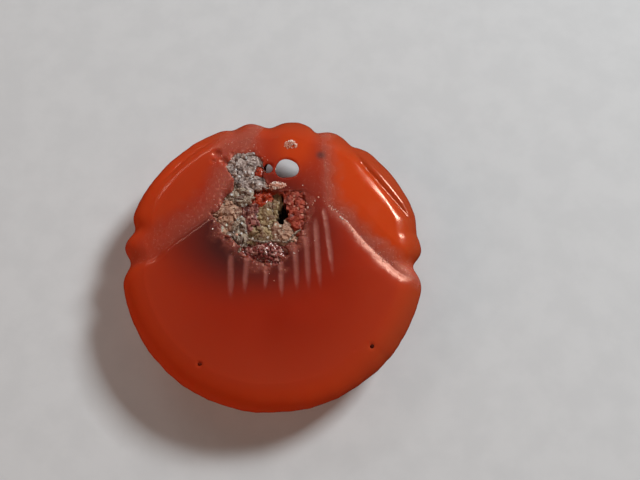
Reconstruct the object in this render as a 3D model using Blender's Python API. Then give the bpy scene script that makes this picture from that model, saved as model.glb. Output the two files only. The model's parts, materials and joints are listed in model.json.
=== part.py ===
"""A hand-carved carnelian sew-on button, 25.4 mm across, with the natural mineral pocket in its face.

Frame: the origin is the middle of the flat back, +Z points out of the carved face, and +Y points
from the middle towards the two sewing holes. Lengths below are millimetres, scaled by MM.
"""

import math

import bmesh
import bpy
import numpy as np
from mathutils import Vector

MM = 0.001

# The blank: a lens-shaped disc with a flat on its back and a faint ridge round its face.
GIRDLE_RADIUS = 12.7
GIRDLE_HEIGHT = 2.9
THICKNESS = 5.6
BACK_FLAT_RADIUS = 5.2
BACK_ROUNDNESS = 1.5
RIDGE_RADIUS = 10.6
RIDGE_HEIGHT = 4.75
SHOULDER_START = 8.9
SEGMENTS = 120
BACK_RINGS = 6
SHOULDER_RINGS = 6
FACE_RINGS = 16

# Where each carved line runs out over the rim: angle, depth, and half width in degrees.
RIM_NOTCHES = [
    (-3.6, 0.90, 4.5),
    (9.5, 0.33, 5.0),
    (56.5, 0.38, 4.2),
    (72.4, 0.55, 3.6),
    (92.5, 0.68, 4.6),
    (107.5, 0.25, 3.8),
    (168.5, 0.55, 3.8),
    (182.4, 0.66, 4.2),
]

# The carved lines, each from the top of the button outwards. Each side has a width and a
# roundness: 1 is a flat ground slope down to the line, and 2 is a round shoulder. The taper
# is the share of the line's length that it takes to reach its full depth, the share that it
# takes to run out again, and the least share of its depth.
VALLEYS = {
    "right_valley": {
        "path": [(3.9, 12.4), (4.2, 8.2), (4.6, 4.4), (6.1, 2.8), (7.5, 1.1), (9.4, -0.7),
                 (10.5, -1.6), (12.4, -2.4)],
        "depth": 0.25, "left_side": (1.8, 1.0), "right_side": (1.4, 1.4),
        "taper": (0.75, 0.14, 0.05),
    },
    "left_valley": {
        "path": [(-0.6, 12.5), (-2.6, 8.4), (-4.3, 4.4), (-5.2, 3.1), (-7.2, 1.65), (-8.8, 0.4),
                 (-10.0, -0.55), (-12.4, -1.0)],
        "depth": 0.22, "left_side": (0.6, 1.6), "right_side": (2.4, 1.1),
        "taper": (0.60, 0.25, 0.20),
    },
    "right_crescent": {
        "path": [(6.1, 10.6), (7.8, 7.9), (9.15, 6.2), (10.8, 4.2), (11.9, 2.6)],
        "depth": 0.32, "left_side": (0.55, 1.7), "right_side": (1.15, 1.6),
        "taper": (0.30, 0.30, 0.0),
    },
    "left_crescent": {
        "path": [(-3.9, 10.8), (-5.8, 9.95), (-7.55, 8.6), (-8.6, 7.45), (-10.6, 5.4)],
        "depth": 0.22, "left_side": (0.5, 1.8), "right_side": (1.1, 1.2),
        "taper": (0.30, 0.35, 0.0),
    },
}
PATH_SAMPLES = 12

# The fan of score marks below the pocket: top end, bottom end, width.
SCORE_MARKS = [
    ((-3.3, -0.2), (-3.2, -4.0), 0.46),
    ((-1.9, 0.2), (-2.1, -3.6), 0.42),
    ((-0.4, -0.7), (-0.5, -3.3), 0.34),
    ((0.8, -0.2), (0.9, -3.9), 0.40),
    ((1.9, 0.7), (2.1, -3.4), 0.42),
    ((2.7, 2.4), (3.05, -3.4), 0.42),
    ((3.6, 2.8), (4.0, -3.25), 0.42),
    ((4.25, 3.8), (5.0, -2.2), 0.40),
]
SCORE_DEPTH = 0.18
SCORE_CLEARANCE = 0.3

# The two sewing holes, drilled a little aslant from the back, where they are wider.
HOLE_LEAN = math.radians(22)
SEWING_HOLES = {
    "sewing_hole_right": {"mouth": (1.11, 7.38), "mouth_radius": 0.82, "back_radius": 1.25},
    "sewing_hole_left": {"mouth": (-0.48, 7.40), "mouth_radius": 0.34, "back_radius": 0.60},
}
HOLE_SIDES = 20

# The natural pocket, as its outline at the face, and how deep it goes.
POCKET_OUTLINE = [
    (-3.5, 8.7), (-1.9, 8.6), (-0.95, 7.8), (-0.9, 6.6), (-0.3, 5.5), (0.6, 5.1), (2.2, 5.2),
    (2.8, 4.2), (2.5, 1.6), (1.5, 0.7), (0.8, -0.4), (-0.4, -1.0), (-1.8, -0.4), (-2.9, 0.6),
    (-4.0, 1.7), (-4.8, 3.0), (-4.1, 4.4), (-3.2, 6.1), (-3.9, 7.5),
]
POCKET_MIDDLE = (-1.0, 4.0)
POCKET_DEPTH = 2.6
POCKET_WALL_TOP = 5.0
POCKET_LEVELS = 5
FIT_GAP = 0.06

# The minerals that fill the pocket: middle, half sizes across, height of the top, and depth.
POCKET_MINERALS = {
    "sinter_crust": ((-2.70, 7.40), (1.25, 1.45), 5.55, 2.2),
    "sinter_tongue": ((-1.65, 5.90), (1.25, 0.75), 5.45, 2.2),
    "red_nodule_upper": ((-1.35, 7.15), (0.48, 0.50), 5.30, 1.4),
    "red_nodule_lower": ((-0.95, 4.65), (0.85, 0.80), 5.25, 2.4),
    "beige_crust": ((-2.50, 4.75), (1.00, 0.95), 5.55, 2.4),
    "tan_lump": ((-3.60, 3.10), (1.05, 1.10), 5.55, 2.2),
    "pale_lump": ((-2.75, 1.90), (0.70, 1.15), 5.50, 2.4),
    "jasper_matrix": ((-1.80, 3.00), (0.85, 1.45), 5.30, 2.8),
    "pale_green_lump": ((0.10, 4.20), (0.70, 0.80), 5.00, 2.6),
    "olive_lump": ((-0.60, 2.90), (0.85, 1.05), 5.10, 2.8),
    "olive_ledge": ((-1.05, 1.35), (1.05, 0.90), 5.30, 2.6),
    "buff_lump": ((0.85, 1.55), (1.30, 1.10), 5.30, 2.6),
    "rust_matrix": ((1.95, 3.40), (1.05, 1.85), 5.40, 2.6),
    "manganese_fill": ((0.80, 3.30), (0.60, 1.35), 4.10, 1.4),
    "drusy_lower": ((-0.55, -0.05), (1.25, 0.85), 5.75, 1.8),
}

# The minerals that sit in seats of their own: middle, half sizes across, height of the top, depth.
SEATED_MINERALS = {
    "drusy_bridge": ((0.35, 5.74), (0.92, 0.40), 5.50, 0.9),
    "quartz_window": ((1.40, 9.60), (0.75, 0.55), 4.98, 0.7),
    "pit_grain_left": ((-5.55, -9.05), (0.24, 0.20), 4.75, 0.5),
    "pit_grain_right": ((8.05, -7.60), (0.26, 0.22), 4.62, 0.5),
}
LUMP_DIVISIONS = 2
LUMP_ROUGHNESS = 0.05

# Colour (linear RGB) and roughness of each material.
MATERIALS = {
    "carnelian": ((0.42, 0.045, 0.012), 0.12),
    "grey_sinter": ((0.24, 0.20, 0.19), 0.85),
    "beige_sinter": ((0.36, 0.29, 0.23), 0.85),
    "red_chalcedony": ((0.45, 0.03, 0.015), 0.20),
    "tan_matrix": ((0.36, 0.22, 0.14), 0.75),
    "green_matrix": ((0.28, 0.27, 0.16), 0.75),
    "jasper": ((0.18, 0.05, 0.04), 0.55),
    "rust": ((0.30, 0.08, 0.04), 0.70),
    "manganese": ((0.02, 0.016, 0.012), 0.60),
    "drusy_quartz": ((0.62, 0.42, 0.38), 0.10),
}
MATERIAL_OF = {
    "carnelian_body": "carnelian",
    "sinter_crust": "grey_sinter",
    "sinter_tongue": "grey_sinter",
    "beige_crust": "beige_sinter",
    "red_nodule_upper": "red_chalcedony",
    "red_nodule_lower": "red_chalcedony",
    "tan_lump": "tan_matrix",
    "buff_lump": "tan_matrix",
    "pale_lump": "beige_sinter",
    "pale_green_lump": "green_matrix",
    "olive_lump": "green_matrix",
    "olive_ledge": "green_matrix",
    "jasper_matrix": "jasper",
    "rust_matrix": "rust",
    "manganese_fill": "manganese",
    "drusy_bridge": "drusy_quartz",
    "drusy_lower": "drusy_quartz",
    "quartz_window": "drusy_quartz",
    "pit_grain_left": "manganese",
    "pit_grain_right": "manganese",
}


def clear_scene():
    for obj in list(bpy.data.objects):
        bpy.data.objects.remove(obj)


def smooth_step(value):
    value = min(1.0, max(0.0, value))
    return value * value * (3 - 2 * value)


def make_material(name):
    colour, roughness = MATERIALS[name]
    material = bpy.data.materials.new(name)
    material.use_nodes = True
    shader = material.node_tree.nodes["Principled BSDF"]
    shader.inputs["Base Color"].default_value = (*colour, 1)
    shader.inputs["Roughness"].default_value = roughness
    shader.inputs["Metallic"].default_value = 0
    material.diffuse_color = (*colour, 1)
    return material


def make_object(name, mesh_builder):
    """Turns a bmesh in millimetres into a closed, smooth-shaded object in metres."""
    bmesh.ops.recalc_face_normals(mesh_builder, faces=mesh_builder.faces)
    bmesh.ops.scale(mesh_builder, vec=(MM, MM, MM), verts=mesh_builder.verts)
    mesh = bpy.data.meshes.new(name)
    mesh_builder.to_mesh(mesh)
    mesh_builder.free()
    mesh.shade_smooth()
    mesh.set_sharp_from_angle(angle=math.radians(35))
    obj = bpy.data.objects.new(name, mesh)
    bpy.context.scene.collection.objects.link(obj)
    return obj


def as_guide(obj):
    obj.hide_render = True
    obj.display_type = "WIRE"
    return obj


def add_boolean(obj, operation, other=None, collection=None):
    modifier = obj.modifiers.new(operation.title(), "BOOLEAN")
    modifier.operation = operation
    modifier.solver = "EXACT"
    if collection:
        modifier.operand_type = "COLLECTION"
        modifier.collection = collection
    else:
        modifier.object = other
    return modifier


# ---------------------------------------------------------------- the turned blank


def dome_height(radius):
    """Height of the face before carving: a shallow dome, then a rounder shoulder past the ridge."""
    if radius <= RIDGE_RADIUS:
        return THICKNESS - (THICKNESS - RIDGE_HEIGHT) * (radius / RIDGE_RADIUS) ** 2
    span = GIRDLE_RADIUS - SHOULDER_START
    ridge = math.sqrt(1 - ((RIDGE_RADIUS - SHOULDER_START) / span) ** 2)
    here = math.sqrt(max(0.0, 1 - ((radius - SHOULDER_START) / span) ** 2))
    return GIRDLE_HEIGHT + (RIDGE_HEIGHT - GIRDLE_HEIGHT) * here / ridge


def back_height(radius):
    """Height of the back: flat in the middle, then lifting to the girdle."""
    out = max(0.0, (radius - BACK_FLAT_RADIUS) / (GIRDLE_RADIUS - BACK_FLAT_RADIUS))
    return GIRDLE_HEIGHT * (1 - (1 - out**BACK_ROUNDNESS) ** (1 / BACK_ROUNDNESS))


def blank_profile():
    """(radius, height, on the face) of each ring, from the edge of the flat back to the face."""
    rings = []
    for step in range(BACK_RINGS):
        turn = math.sin(0.5 * math.pi * step / BACK_RINGS)
        radius = BACK_FLAT_RADIUS + (GIRDLE_RADIUS - BACK_FLAT_RADIUS) * turn
        rings.append((radius, back_height(radius), False))
    for step in range(SHOULDER_RINGS):
        turn = math.cos(0.5 * math.pi * step / SHOULDER_RINGS)
        radius = RIDGE_RADIUS + (GIRDLE_RADIUS - RIDGE_RADIUS) * turn
        rings.append((radius, dome_height(radius), True))
    rings[BACK_RINGS] = (GIRDLE_RADIUS, GIRDLE_HEIGHT, False)
    for step in range(FACE_RINGS, 0, -1):
        radius = RIDGE_RADIUS * step / FACE_RINGS
        rings.append((radius, dome_height(radius), True))
    return rings


def notch_depth(angle):
    """How far the rim is cut in at this angle, in radians."""
    total = 0.0
    for notch_angle, depth, half_width in RIM_NOTCHES:
        away = (math.degrees(angle) - notch_angle + 180) % 360 - 180
        total += depth * math.exp(-((away / half_width) ** 2))
    return total


def curve_through(points, samples=PATH_SAMPLES):
    """Points along a Catmull-Rom curve through the given ones."""
    ends = [2 * points[0] - points[1], *points, 2 * points[-1] - points[-2]]
    curve = []
    for before, start, end, after in zip(ends, ends[1:], ends[2:], ends[3:]):
        for step in range(samples):
            t = step / samples
            curve.append(
                0.5 * (2 * start + (end - before) * t
                       + (2 * before - 5 * start + 4 * end - after) * t**2
                       + (3 * start - before - 3 * end + after) * t**3)
            )
    return np.array([*curve, points[-1]])


def place_along(points, curve):
    """Each point's distance to the curve, positive to the right of its direction of travel, and how
    far along the curve, from 0 to 1, the nearest place is."""
    gaps = points[:, None, :] - curve[None, :-1, :]
    along = curve[1:] - curve[:-1]
    share = np.clip((gaps * along).sum(2) / (along * along).sum(1), 0, 1)
    away = gaps - share[..., None] * along
    distance = np.linalg.norm(away, axis=2)
    nearest = distance.argmin(1)
    rows = np.arange(len(points))
    side = along[nearest, 1] * away[rows, nearest, 0] - along[nearest, 0] * away[rows, nearest, 1]
    travelled = (nearest + share[rows, nearest]) / len(along)
    return np.where(side >= 0, 1, -1) * distance[rows, nearest], travelled


def side_drop(distance, width, roundness):
    """Share of a valley's full depth at a distance from its line, on one of its sides."""
    near = 1 - np.clip(distance / width, 0, 1)
    return 1 - (1 - near**roundness) ** (1 / roundness)


def taper(travelled, start, end, least):
    """Share of the full depth along a carved line, which fades towards its two ends."""
    fade = [smooth_step(place / start) * smooth_step((1 - place) / end) for place in travelled]
    return least + (1 - least) * np.array(fade)


def valley_drop(points, valley):
    """How far one carved line lowers each point."""
    curve = curve_through([np.array(point) for point in valley["path"]])
    offset, travelled = place_along(points, curve)
    right = side_drop(offset, *valley["right_side"])
    left = side_drop(-offset, *valley["left_side"])
    depth = valley["depth"] * taper(travelled, *valley["taper"])
    return depth * np.where(offset > 0, right, left)


def carving(points):
    """How far the carving lowers the face at each (x, y)."""
    drops = [valley_drop(points, valley) for valley in VALLEYS.values()]
    return np.max(drops, axis=0)


def carved_blank():
    rings = blank_profile()
    places = []
    for radius, height, _ in rings:
        reach = smooth_step(height / GIRDLE_HEIGHT) * (radius / GIRDLE_RADIUS) ** 4
        for step in range(SEGMENTS):
            angle = 2 * math.pi * step / SEGMENTS
            here = radius - reach * notch_depth(angle)
            places.append((here * math.cos(angle), here * math.sin(angle), height))
    places = np.array(places)
    on_face = np.repeat([face for _, _, face in rings], SEGMENTS)
    fade = np.array([smooth_step((height - GIRDLE_HEIGHT) / 1.2) for height in places[:, 2]])
    places[:, 2] -= carving(places[:, :2]) * fade * on_face
    builder = bmesh.new()
    verts = [builder.verts.new(place) for place in places]
    back = builder.verts.new((0, 0, 0))
    face = builder.verts.new((0, 0, THICKNESS))
    last = (len(rings) - 1) * SEGMENTS
    for step in range(SEGMENTS):
        following = (step + 1) % SEGMENTS
        builder.faces.new((back, verts[following], verts[step]))
        builder.faces.new((face, verts[last + step], verts[last + following]))
        for ring in range(0, last, SEGMENTS):
            corners = (ring + step, ring + following, ring + SEGMENTS + following, ring + SEGMENTS + step)
            builder.faces.new([verts[corner] for corner in corners])
    return make_object("carnelian_body", builder)


# ---------------------------------------------------------------- cutters


def face_height(x, y):
    """Height of the carved face at one point."""
    return dome_height(math.hypot(x, y)) - float(carving(np.array([[x, y]]))[0])


def score_cutter(name, top, bottom, width):
    """A long thin wedge that is deepest in the middle of its stroke."""
    top = Vector((*top, face_height(*top)))
    bottom = Vector((*bottom, face_height(*bottom)))
    middle = (top + bottom) / 2
    across = (bottom - top).cross(Vector((0, 0, 1))).normalized() * (width / 2)
    up = Vector((0, 0, 1))
    sides = [middle - up * SCORE_DEPTH, middle + across, middle + up * SCORE_CLEARANCE, middle - across]
    builder = bmesh.new()
    start = builder.verts.new(top)
    end = builder.verts.new(bottom)
    belt = [builder.verts.new(side) for side in sides]
    for here, following in zip(belt, [*belt[1:], belt[0]]):
        builder.faces.new((start, here, following))
        builder.faces.new((end, following, here))
    return as_guide(make_object(name, builder))


def hole_cutter(name, mouth, mouth_radius, back_radius):
    """A cone along the drill's line, which leans towards -Y at the face."""
    lean = Vector((0, -math.sin(HOLE_LEAN), math.cos(HOLE_LEAN)))
    reach = THICKNESS + 2
    builder = bmesh.new()
    bmesh.ops.create_cone(
        builder, cap_ends=True, segments=HOLE_SIDES,
        radius1=back_radius, radius2=mouth_radius, depth=reach,
    )
    turn = Vector((0, 0, 1)).rotation_difference(lean)
    face_point = Vector((*mouth, face_height(*mouth)))
    middle = face_point - lean * (reach / 2 - 1)
    bmesh.ops.rotate(builder, verts=builder.verts, cent=(0, 0, 0), matrix=turn.to_matrix())
    bmesh.ops.translate(builder, verts=builder.verts, vec=middle)
    return as_guide(make_object(name, builder))


def pocket_solid(name, gap):
    """The pocket's outer shape, drawn in by gap: steep walls and a bowl-shaped floor."""
    middle = np.array(POCKET_MIDDLE)
    outline = curve_through([np.array(point) for point in POCKET_OUTLINE + POCKET_OUTLINE[:1]], 2)[:-1]
    out = outline - middle
    reach = np.linalg.norm(out, axis=1, keepdims=True)
    floor = POCKET_WALL_TOP - POCKET_DEPTH + gap
    levels = [(1.0, THICKNESS + 1), (1.0, POCKET_WALL_TOP)]
    for step in range(1, POCKET_LEVELS):
        turn = 0.5 * math.pi * step / POCKET_LEVELS
        levels.append((math.cos(turn) ** 0.6, POCKET_WALL_TOP + (floor - POCKET_WALL_TOP) * math.sin(turn)))
    builder = bmesh.new()
    loops = []
    for share, height in levels:
        ring = middle + out * share * (reach - gap) / reach
        loops.append([builder.verts.new((x, y, height)) for x, y in ring])
    for upper, lower in zip(loops, loops[1:]):
        for step in range(len(upper)):
            following = (step + 1) % len(upper)
            builder.faces.new((upper[step], upper[following], lower[following], lower[step]))
    builder.faces.new(loops[0])
    bottom = builder.verts.new((*middle, floor))
    for here, following in zip(loops[-1], [*loops[-1][1:], loops[-1][0]]):
        builder.faces.new((here, following, bottom))
    return as_guide(make_object(name, builder))


def lump_builder(middle, halves, top, depth, grow=0.0):
    """A rough ellipsoid with its top at the given height. grow makes it larger all round."""
    builder = bmesh.new()
    bmesh.ops.create_icosphere(builder, subdivisions=LUMP_DIVISIONS, radius=1)
    for vert in builder.verts:
        x, y, z = vert.co
        rough = 1 + LUMP_ROUGHNESS * math.sin(5 * x + 9 * middle[0]) * math.cos(6 * y + 7 * z)
        vert.co = Vector((
            middle[0] + x * rough * (halves[0] + grow),
            middle[1] + y * rough * (halves[1] + grow),
            top - depth / 2 + z * rough * (depth / 2 + grow),
        ))
    return builder


def seat_cutter(name, middle, halves, top, depth):
    """The seat of one mineral: its own shape, larger all round by the gap."""
    return as_guide(make_object(name, lump_builder(middle, halves, top, depth, FIT_GAP)))


def body_cutters():
    cutters = [pocket_solid("pocket_cutter", 0.0)]
    for number, (top, bottom, width) in enumerate(SCORE_MARKS):
        cutters.append(score_cutter(f"score_cutter_{number}", top, bottom, width))
    for name, hole in SEWING_HOLES.items():
        cutters.append(hole_cutter(name + "_cutter", **hole))
    for name, shape in SEATED_MINERALS.items():
        cutters.append(seat_cutter(name + "_seat", *shape))
    return cutters


# ---------------------------------------------------------------- minerals


def reach_towards(halves, direction):
    """How far an ellipse of these half sizes reaches in a direction."""
    return 1 / math.hypot(direction[0] / halves[0], direction[1] / halves[1])


def trim_to_neighbours(builder, name, minerals):
    """Cuts a lump flat where it would run into a neighbour, leaving the gap between the two."""
    middle, halves = minerals[name][0], minerals[name][1]
    for other, (other_middle, other_halves, *_) in minerals.items():
        if other == name:
            continue
        line = Vector(other_middle) - Vector(middle)
        direction = line.normalized()
        own = reach_towards(halves, direction)
        theirs = reach_towards(other_halves, direction)
        if own + theirs + FIT_GAP < line.length * 0.8:
            continue
        share = own / (own + theirs)
        distance = line.length * share - FIT_GAP / 2
        bmesh.ops.bisect_plane(
            builder, geom=[*builder.verts, *builder.edges, *builder.faces], dist=1e-5,
            plane_co=(*(Vector(middle) + direction * distance), 0),
            plane_no=(*direction, 0), clear_outer=True,
        )
        open_edges = [edge for edge in builder.edges if edge.is_boundary]
        bmesh.ops.holes_fill(builder, edges=open_edges, sides=0)


def pocket_mineral(name, pocket_fill):
    builder = lump_builder(*POCKET_MINERALS[name])
    trim_to_neighbours(builder, name, POCKET_MINERALS)
    obj = make_object(name, builder)
    add_boolean(obj, "INTERSECT", other=pocket_fill)
    return obj


def seated_mineral(name):
    return make_object(name, lump_builder(*SEATED_MINERALS[name]))


def main():
    clear_scene()
    body = carved_blank()
    cutter_group = bpy.data.collections.new("body_cutters")
    bpy.context.scene.collection.children.link(cutter_group)
    for cutter in body_cutters():
        bpy.context.scene.collection.objects.unlink(cutter)
        cutter_group.objects.link(cutter)
    add_boolean(body, "DIFFERENCE", collection=cutter_group)
    pocket_fill = pocket_solid("pocket_fill_guide", FIT_GAP)
    pieces = [body]
    pieces += [pocket_mineral(name, pocket_fill) for name in POCKET_MINERALS]
    pieces += [seated_mineral(name) for name in SEATED_MINERALS]
    materials = {name: make_material(name) for name in MATERIALS}
    for piece in pieces:
        piece.data.materials.append(materials[MATERIAL_OF[piece.name]])


main()
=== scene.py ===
"""The looks of the carved carnelian sew-on button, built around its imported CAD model.

Shapes are worked out in millimetres in the CAD model's frame, and each finished piece is scaled
by MM. The stone's carved lines, rim notches, holes and pocket repeat the CAD model's values.
"""

import collections
import itertools
import json
import math

import bmesh
import bpy
import numpy as np
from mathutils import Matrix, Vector

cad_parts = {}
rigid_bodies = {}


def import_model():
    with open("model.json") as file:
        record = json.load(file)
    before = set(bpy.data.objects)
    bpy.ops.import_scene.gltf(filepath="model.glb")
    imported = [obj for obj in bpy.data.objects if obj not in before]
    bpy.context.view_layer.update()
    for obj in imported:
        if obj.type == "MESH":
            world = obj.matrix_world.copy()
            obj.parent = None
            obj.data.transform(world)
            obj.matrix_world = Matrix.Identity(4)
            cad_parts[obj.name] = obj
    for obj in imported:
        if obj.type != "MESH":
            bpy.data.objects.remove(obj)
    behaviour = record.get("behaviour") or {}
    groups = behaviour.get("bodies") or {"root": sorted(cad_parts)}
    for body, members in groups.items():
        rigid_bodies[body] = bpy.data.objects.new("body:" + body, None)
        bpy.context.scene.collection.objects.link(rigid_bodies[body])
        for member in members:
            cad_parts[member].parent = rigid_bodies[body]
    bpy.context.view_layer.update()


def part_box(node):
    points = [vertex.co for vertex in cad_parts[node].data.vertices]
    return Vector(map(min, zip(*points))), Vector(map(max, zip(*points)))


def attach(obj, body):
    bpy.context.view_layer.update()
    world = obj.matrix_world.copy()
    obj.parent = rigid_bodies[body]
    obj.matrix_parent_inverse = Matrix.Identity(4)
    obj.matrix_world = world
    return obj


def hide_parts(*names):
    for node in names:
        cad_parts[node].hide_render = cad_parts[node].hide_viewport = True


MM = 0.001

# ---- sizes shared with the CAD model

GIRDLE_RADIUS = 12.7
GIRDLE_HEIGHT = 2.9
THICKNESS = 5.6
BACK_FLAT_RADIUS = 5.2
BACK_ROUNDNESS = 1.5
RIDGE_RADIUS = 10.6
RIDGE_HEIGHT = 4.75
SHOULDER_START = 8.9

# Angle, depth and half width in degrees of each notch in the rim.
RIM_NOTCHES = [
    (-3.6, 0.90, 4.5), (9.5, 0.33, 5.0), (56.5, 0.38, 4.2), (72.4, 0.55, 3.6),
    (92.5, 0.68, 4.6), (107.5, 0.25, 3.8), (168.5, 0.55, 3.8), (182.4, 0.66, 4.2),
]

# Carved lines, from the top outwards. Each side has a width and a roundness, from 1, a flat slope,
# to 2, a round shoulder. The taper is the share of the length that the line takes to reach its
# full depth, the share that it takes to run out again, and the least share of its depth.
VALLEYS = {
    "right_valley": {
        "path": [(3.9, 12.4), (4.2, 8.2), (4.6, 4.4), (6.1, 2.8), (7.5, 1.1), (9.4, -0.7),
                 (10.5, -1.6), (12.4, -2.4)],
        "depth": 0.25, "left_side": (1.8, 1.0), "right_side": (1.4, 1.4),
        "taper": (0.75, 0.14, 0.05),
    },
    "left_valley": {
        "path": [(-0.6, 12.5), (-2.6, 8.4), (-4.3, 4.4), (-5.2, 3.1), (-7.2, 1.65), (-8.8, 0.4),
                 (-10.0, -0.55), (-12.4, -1.0)],
        "depth": 0.22, "left_side": (0.6, 1.6), "right_side": (2.4, 1.1),
        "taper": (0.60, 0.25, 0.20),
    },
    "right_crescent": {
        "path": [(6.1, 10.6), (7.8, 7.9), (9.15, 6.2), (10.8, 4.2), (11.9, 2.6)],
        "depth": 0.32, "left_side": (0.55, 1.7), "right_side": (1.15, 1.6),
        "taper": (0.30, 0.30, 0.0),
    },
    "left_crescent": {
        "path": [(-3.9, 10.8), (-5.8, 9.95), (-7.55, 8.6), (-8.6, 7.45), (-10.6, 5.4)],
        "depth": 0.22, "left_side": (0.5, 1.8), "right_side": (1.1, 1.2),
        "taper": (0.30, 0.35, 0.0),
    },
}
PATH_SAMPLES = 12

# Score marks: top end, bottom end, width.
SCORE_MARKS = [
    ((-3.3, -0.2), (-3.2, -4.0), 0.46),
    ((-1.9, 0.2), (-2.1, -3.6), 0.42),
    ((-0.4, -0.7), (-0.5, -3.3), 0.34),
    ((0.8, -0.2), (0.9, -3.9), 0.40),
    ((1.9, 0.7), (2.1, -3.4), 0.42),
    ((2.7, 2.4), (3.05, -3.4), 0.42),
    ((3.6, 2.8), (4.0, -3.25), 0.42),
    ((4.25, 3.8), (5.0, -2.2), 0.40),
]

# The stretch makes a hole's mouth a little wider than it is high.
HOLE_LEAN = math.radians(22)
SEWING_HOLES = {
    "right": {"mouth": (1.11, 7.38), "mouth_radius": 0.82, "back_radius": 1.25, "stretch": 0.13},
    "left": {"mouth": (-0.48, 7.40), "mouth_radius": 0.34, "back_radius": 0.60, "stretch": 0.0},
}

POCKET_OUTLINE = [
    (-3.5, 8.7), (-1.9, 8.6), (-0.95, 7.8), (-0.9, 6.6), (-0.3, 5.5), (0.6, 5.1), (2.2, 5.2),
    (2.8, 4.2), (2.5, 1.6), (1.5, 0.7), (0.8, -0.4), (-0.4, -1.0), (-1.8, -0.4), (-2.9, 0.6),
    (-4.0, 1.7), (-4.8, 3.0), (-4.1, 4.4), (-3.2, 6.1), (-3.9, 7.5),
]
POCKET_MIDDLE = (-1.0, 4.0)

# ---- sizes of the fine surface

SEGMENTS = 480
FLAT_RINGS = 4
BACK_RINGS = 20
SHOULDER_RINGS = 24
FACE_RINGS = 126

# The face is left alone at the girdle and fully carved this far above it.
CARVING_FADE = 1.2
SCORE_DEPTH = 0.05
RIM_WAVER = 0.05
POLISH_WAVE = 0.010
FROST_GRAIN = 0.012

# The stone is broken from the pocket's edge out to this share of the pocket's reach.
BROKEN_EDGE = 1.16
POCKET_FLOOR = 2.2

# Dents in the face: middle, radius, depth. The stain: middle, half sizes.
PITS = [((-5.55, -9.05), 0.26, 0.18), ((8.05, -7.60), 0.28, 0.20), ((6.7, -7.95), 0.14, 0.05)]
CHIPS = [((-4.9, 8.9), 0.55, 0.22), ((-4.3, 8.2), 0.45, 0.20), ((-5.2, 8.2), 0.30, 0.12)]
STAIN = ((4.0, 8.7), (0.65, 0.60))

# The worn edge round each sewing hole: how deep it is, how far out it goes, and its slope's width.
MOUTH_WEAR = (0.16, 0.30, 0.35)

# The drill that cuts a sewing hole goes from this far below the hole's mouth to this far above it.
MOUTH_HEIGHT = 5.0
DRILL_REACH = (-7.5, 1.5)
DRILL_SIDES = 64
DRILL_LEVELS = 12

# ---- what is in and beside the pocket

# The pocket's filling: each mineral's CAD node, material, middle and half sizes of the ellipse
# that it fills, rise above the face, strength of its facets, and depth of its grain.
Fill = collections.namedtuple("Fill", "node material middle halves rise facets grain")
FILLING = [Fill(*row) for row in [
    ("sinter_crust", "grey_sinter", (-2.75, 7.55), (1.25, 1.30), 0.12, 0.60, 0.070),
    ("sinter_tongue", "grey_sinter", (-1.70, 5.95), (1.20, 0.62), 0.06, 0.60, 0.070),
    ("red_nodule_upper", "red_chalcedony", (-1.30, 7.20), (0.42, 0.45), -0.10, 0.20, 0.000),
    ("red_nodule_lower", "red_chalcedony", (-0.95, 4.70), (0.80, 0.70), -0.35, 0.40, 0.010),
    ("beige_crust", "beige_sinter", (-2.45, 4.85), (0.95, 0.90), 0.06, 0.60, 0.060),
    ("tan_lump", "tan_matrix", (-3.60, 3.15), (1.00, 1.00), 0.02, 0.45, 0.035),
    ("pale_lump", "beige_sinter", (-2.70, 1.95), (0.62, 1.15), 0.03, 0.60, 0.050),
    ("jasper_matrix", "jasper", (-1.75, 2.95), (0.75, 1.35), -0.12, 0.35, 0.020),
    ("pale_green_lump", "green_matrix", (0.05, 4.05), (0.62, 0.62), -0.40, 0.60, 0.040),
    ("olive_lump", "green_matrix", (-0.65, 3.05), (0.80, 0.90), -0.20, 0.50, 0.040),
    ("olive_ledge", "green_matrix", (-0.95, 1.55), (0.85, 0.80), -0.08, 0.55, 0.040),
    ("buff_lump", "tan_matrix", (0.95, 1.70), (1.00, 0.95), -0.05, 0.50, 0.030),
    ("rust_matrix", "rust", (2.00, 3.50), (0.95, 1.85), 0.00, 0.28, 0.020),
    # The deep cleft in the pocket is filled with near-black painted shade.
    ("manganese_fill", "manganese", (0.85, 3.25), (0.32, 1.15), -1.55, 0.80, 0.040),
    ("drusy_lower", "drusy_quartz", (-0.50, -0.10), (1.35, 0.75), -0.08, 0.80, 0.030),
]]
GRID_STEP = 0.045
FILLING_BOTTOM = 2.6
CRACK_DEPTH = 0.08

# Each bed of crystals: number, smallest and largest radius, how far it is raised, and material.
DRUSES = {
    "drusy_bridge": (75, (0.04, 0.12), 0.04, "clear_quartz"),
    "drusy_lower": (130, (0.05, 0.15), 0.0, "drusy_quartz"),
    "quartz_window": (110, (0.04, 0.09), 0.02, "clear_quartz"),
}

# A thin pale ridge along the pocket's lower edge.
LIP_PATH = [
    (-2.75, -0.15), (-2.35, 0.45), (-1.9, 0.95), (-0.9, 0.75), (0.2, 0.85), (1.2, 0.75),
    (1.9, 1.5), (2.3, 1.8),
]
LIP_SAMPLES = 14
LIP_RADIUS = 0.07

# The skin over small chunks: the size of its cells, and the depth of its grain.
CRUST_CELL = 0.03
CRUST_GRAIN = 0.03

# Single bright crystals on the stone beside the pocket, and the line that tiny ones follow along
# the foot of the right wing.
SPARKLES = [
    (-2.85, 6.0), (-2.9, 1.4), (-4.9, 1.9), (3.8, 4.7), (2.9, 3.8), (2.7, 3.7), (5.8, 2.85),
    (5.6, 3.0), (1.9, 0.9), (-4.3, 2.9),
]
WING_FOOT = [(4.4, 4.2), (6.0, 2.9), (6.8, 1.7), (8.1, 0.4), (9.5, -0.7)]
WING_FOOT_CRYSTALS = 70
POCKET_EDGE_CRYSTALS = 60

# ---- number tools


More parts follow.
